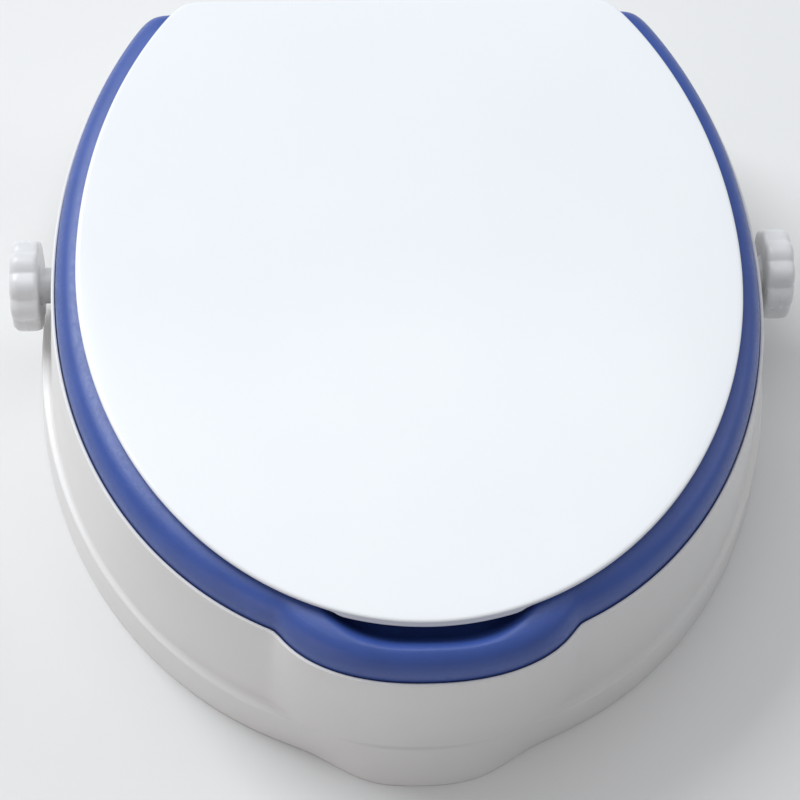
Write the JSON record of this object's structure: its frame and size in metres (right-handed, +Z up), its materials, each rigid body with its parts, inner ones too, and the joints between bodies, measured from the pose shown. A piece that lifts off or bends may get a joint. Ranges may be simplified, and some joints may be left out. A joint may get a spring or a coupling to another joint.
{
  "type": "raised toilet seat",
  "caption": "Raised toilet seat: white moulded body, soft blue ring pad, hinged white lid, and a lobed screw clamp each side to fix it on a toilet bowl.",
  "frame": {"origin": "middle of the whole length and width, on the plane of the skirt's lower edge", "axes": "+Z up, -Y towards the front (the nose), +X to the right seen from the front of the seat looking back along +Y"},
  "size_m": [0.421, 0.434, 0.1234],
  "materials": {
    "body_white": "satin moulded plastic",
    "lid_white": "gloss moulded plastic",
    "knob_white": "satin moulded plastic",
    "pad_blue": "soft moulded polyurethane foam skin, satin",
    "carrier_grey": "matt moulded plastic",
    "rubber_grey": "matt rubber",
    "steel": "stainless steel"
  },
  "bodies": {
    "root": {"body_shell": "body_white", "seat_pad": "pad_blue", "pad_carrier": "carrier_grey", "pad_screw_1": "steel", "pad_screw_2": "steel", "pad_screw_3": "steel", "pad_screw_4": "steel", "pad_screw_5": "steel", "pad_screw_6": "steel", "rest_pad_1": "rubber_grey", "rest_pad_2": "rubber_grey", "rest_pad_3": "rubber_grey", "rest_pad_4": "rubber_grey", "rest_pad_5": "rubber_grey", "rest_pad_6": "rubber_grey", "hinge_bracket_left": "steel", "hinge_pin_left": "steel", "bracket_screw_left_inner": "steel", "bracket_screw_left_outer": "steel", "spindle_nut_left": "steel", "hinge_bracket_right": "steel", "hinge_pin_right": "steel", "bracket_screw_right_inner": "steel", "bracket_screw_right_outer": "steel", "spindle_nut_right": "steel"},
    "lid": {"lid": "lid_white", "lid_bumper_1": "rubber_grey", "lid_bumper_2": "rubber_grey", "lid_bumper_3": "rubber_grey", "lid_bumper_4": "rubber_grey"},
    "clamp_left": {"clamp_shoe_left": "carrier_grey", "clamp_pad_left": "rubber_grey"},
    "knob_left": {"knob_left": "knob_white", "spindle_left": "steel", "retaining_clip_left": "steel"},
    "clamp_right": {"clamp_shoe_right": "carrier_grey", "clamp_pad_right": "rubber_grey"},
    "knob_right": {"knob_right": "knob_white", "spindle_right": "steel", "retaining_clip_right": "steel"}
  },
  "joints": [
    {"name": "lid_hinge", "type": "hinge", "parent": "root", "child": "lid", "pos_m": [0, 0.198, 0.108], "axis": [-1, 0, 0], "range_deg": [0, 105]},
    {"name": "left_clamp_slide", "type": "slide", "parent": "root", "child": "clamp_left", "axis": [1, 0, 0], "range_m": [-0.004, 0.0025]},
    {"name": "left_knob_turn", "type": "hinge", "parent": "clamp_left", "child": "knob_left", "pos_m": [-0.2035, 0.0515, 0.06], "axis": [1, 0, 0], "range_deg": [-360, 225]},
    {"name": "right_clamp_slide", "type": "slide", "parent": "root", "child": "clamp_right", "axis": [-1, 0, 0], "range_m": [-0.004, 0.0025]},
    {"name": "right_knob_turn", "type": "hinge", "parent": "clamp_right", "child": "knob_right", "pos_m": [0.2035, 0.0515, 0.06], "axis": [-1, 0, 0], "range_deg": [-360, 225]}
  ],
  "couplings": [
    {"joint": "left_knob_turn", "follows": "left_clamp_slide", "rad_per_m": 1570.8},
    {"joint": "right_knob_turn", "follows": "right_clamp_slide", "rad_per_m": 1570.8}
  ]
}
